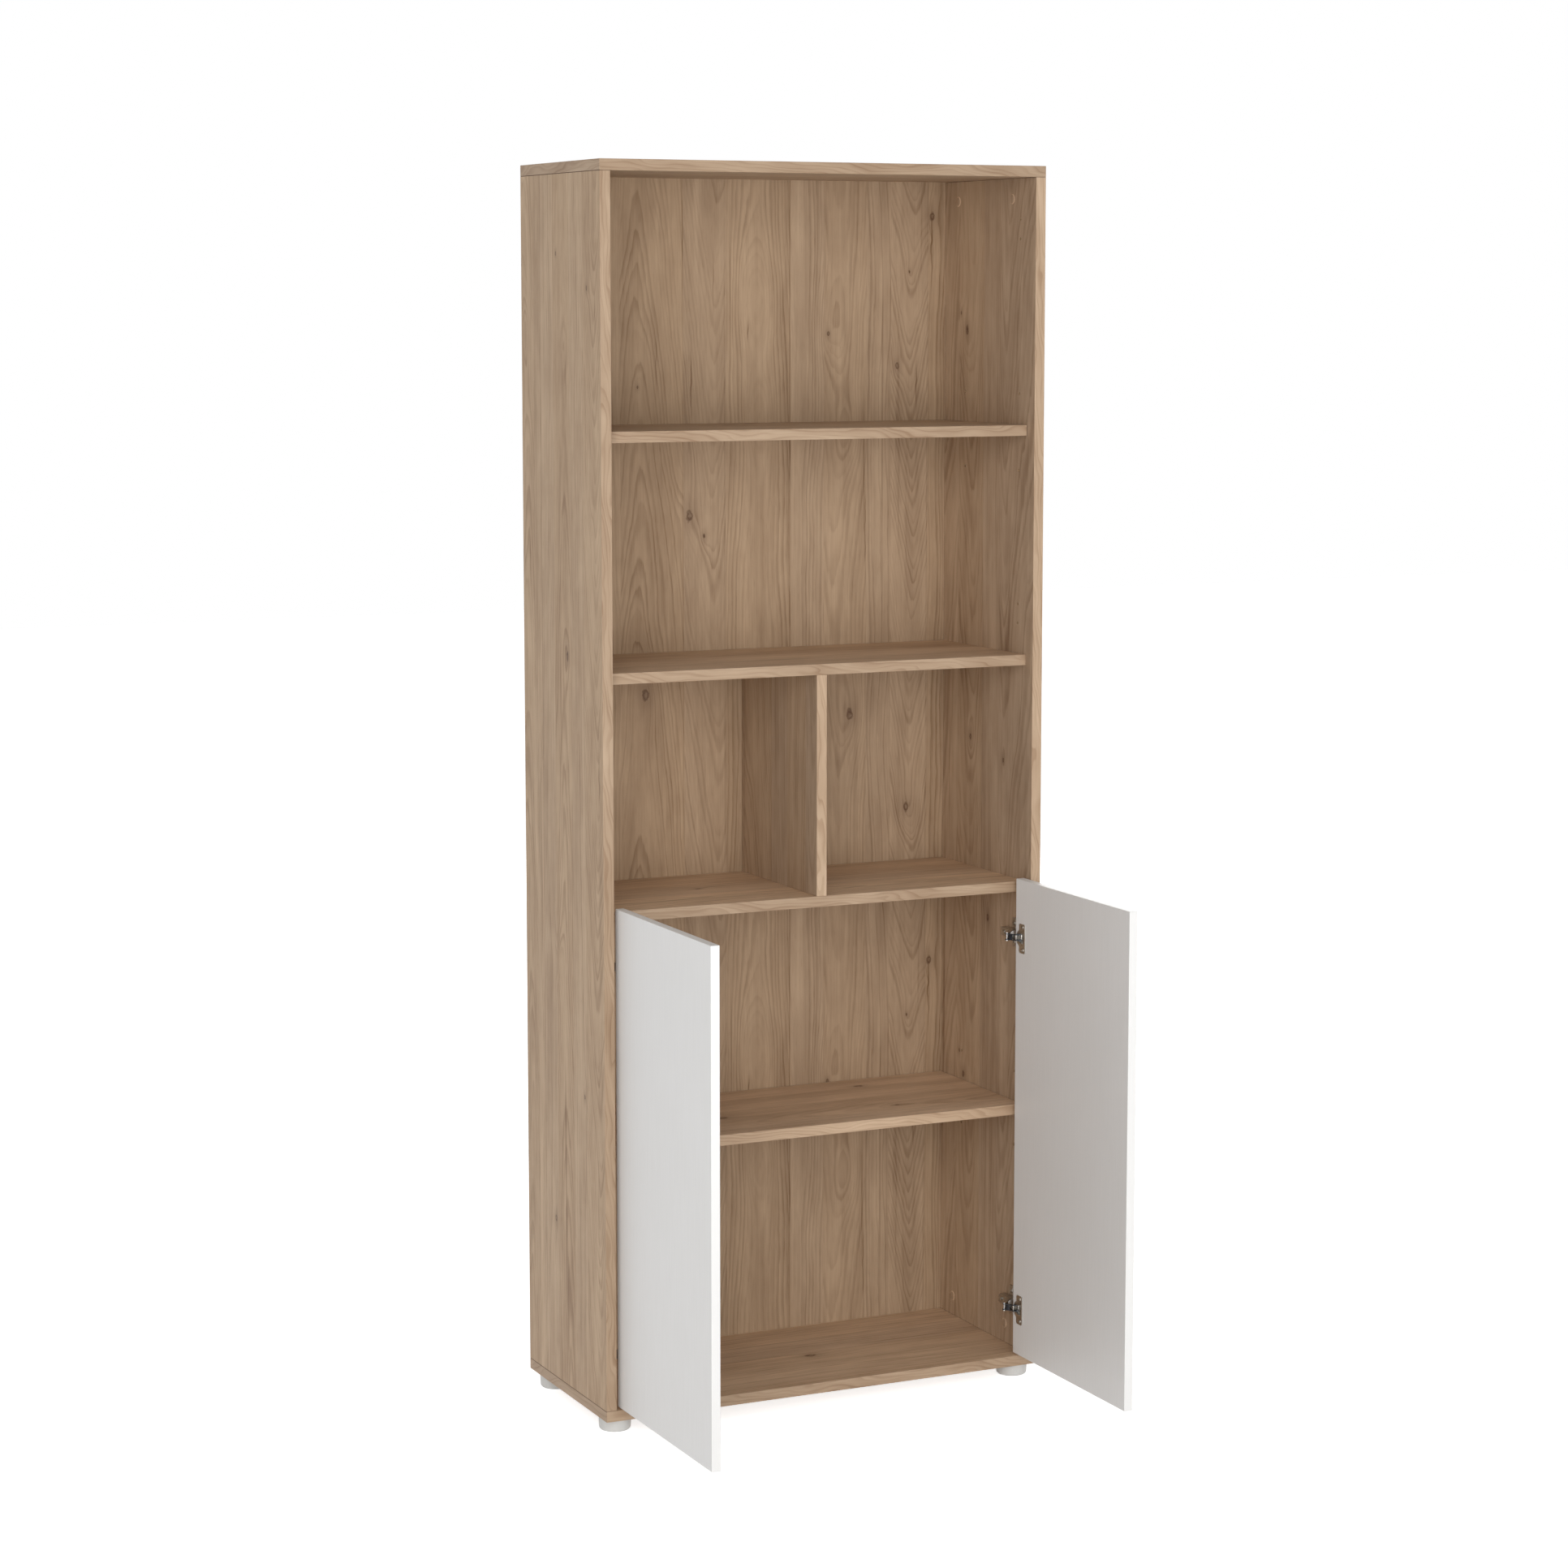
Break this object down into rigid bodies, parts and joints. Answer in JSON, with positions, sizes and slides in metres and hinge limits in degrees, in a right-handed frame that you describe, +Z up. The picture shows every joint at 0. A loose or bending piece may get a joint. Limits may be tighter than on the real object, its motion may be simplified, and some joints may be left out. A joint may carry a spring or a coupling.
{
  "type": "bookcase with cabinet doors",
  "caption": "Tall wood-decor bookcase with open shelves, a divided middle bay and a base cabinet closed by white inset doors on concealed cup hinges, standing on round feet.",
  "frame": {"origin": "on the floor, midway between the sides and in the middle of the depth taken up with the doors open at a right angle", "axes": "+X to the viewer's right, +Y to the back, +Z up"},
  "size_m": [0.795, 0.7056, 2.05],
  "materials": {
    "oak_panel": "matt wood decor",
    "oak_back": "matt wood decor",
    "oak_cover": "matt",
    "beech": "raw",
    "white_door": "satin white laminate",
    "white_plastic": "matt",
    "nickel": "nickel plated",
    "zinc": "zinc",
    "pin_steel": "steel"
  },
  "bodies": {
    "carcass": {"top_panel": "oak_panel", "bottom_panel": "oak_panel", "left_side_panel": "oak_panel", "right_side_panel": "oak_panel", "upper_shelf": "oak_panel", "middle_shelf": "oak_panel", "lower_shelf": "oak_panel", "cabinet_shelf": "oak_panel", "divider": "oak_panel", "back_panel": "oak_back", "cam_covers": "oak_cover", "wooden_dowels": "beech", "cams": "zinc", "cam_bolts": "zinc", "foot_screws": "zinc", "shelf_pins": "nickel", "mounting_plate_screws": "nickel", "adjusting_screws": "nickel", "hinge_arm_pins": "pin_steel", "front_left_foot": "white_plastic", "front_right_foot": "white_plastic", "rear_left_foot": "white_plastic", "rear_right_foot": "white_plastic", "left_upper_mounting_plate": "nickel", "left_upper_hinge_arm": "nickel", "left_lower_mounting_plate": "nickel", "left_lower_hinge_arm": "nickel", "right_upper_mounting_plate": "nickel", "right_upper_hinge_arm": "nickel", "right_lower_mounting_plate": "nickel", "right_lower_hinge_arm": "nickel"},
    "left_inner_links": {"left_upper_inner_link": "nickel", "left_lower_inner_link": "nickel"},
    "left_door": {"left_door": "white_door", "left_cup_screws": "nickel", "left_inner_cup_pins": "pin_steel", "left_outer_cup_pins": "pin_steel", "left_upper_hinge_cup": "nickel", "left_lower_hinge_cup": "nickel"},
    "left_outer_links": {"left_upper_outer_link": "nickel", "left_lower_outer_link": "nickel"},
    "right_inner_links": {"right_upper_inner_link": "nickel", "right_lower_inner_link": "nickel"},
    "right_door": {"right_door": "white_door", "right_cup_screws": "nickel", "right_inner_cup_pins": "pin_steel", "right_outer_cup_pins": "pin_steel", "right_upper_hinge_cup": "nickel", "right_lower_hinge_cup": "nickel"},
    "right_outer_links": {"right_upper_outer_link": "nickel", "right_lower_outer_link": "nickel"}
  },
  "joints": [
    {"name": "left_inner_link_swing", "type": "hinge", "parent": "carcass", "child": "left_inner_links", "pos_m": [-0.352, 0.03725, 0.443], "axis": [0, 0, 1], "range_deg": [-12.85, 0.73]},
    {"name": "left_door_swing", "type": "hinge", "parent": "left_inner_links", "child": "left_door", "pos_m": [-0.365, 0.01525, 0.443], "axis": [0, 0, 1], "range_deg": [-5.71, 102.83]},
    {"name": "left_outer_link_swing", "type": "hinge", "parent": "left_door", "child": "left_outer_links", "pos_m": [-0.3615, 0.01345, 0.443], "axis": [0, 0, 1], "range_deg": [-116, 6.46]},
    {"name": "right_inner_link_swing", "type": "hinge", "parent": "carcass", "child": "right_inner_links", "pos_m": [0.352, 0.03725, 0.443], "axis": [0, 0, -1], "range_deg": [-12.85, 0.73]},
    {"name": "right_door_swing", "type": "hinge", "parent": "right_inner_links", "child": "right_door", "pos_m": [0.365, 0.01525, 0.443], "axis": [0, 0, -1], "range_deg": [-5.71, 102.83]},
    {"name": "right_outer_link_swing", "type": "hinge", "parent": "right_door", "child": "right_outer_links", "pos_m": [0.3615, 0.01345, 0.443], "axis": [0, 0, -1], "range_deg": [-116, 6.46]}
  ],
  "couplings": [
    {"joint": "left_inner_link_swing", "follows": "left_door_swing", "ratio": -0.12477},
    {"joint": "left_outer_link_swing", "follows": "left_door_swing", "ratio": -1.1279},
    {"joint": "right_inner_link_swing", "follows": "right_door_swing", "ratio": -0.12477},
    {"joint": "right_outer_link_swing", "follows": "right_door_swing", "ratio": -1.1279}
  ]
}
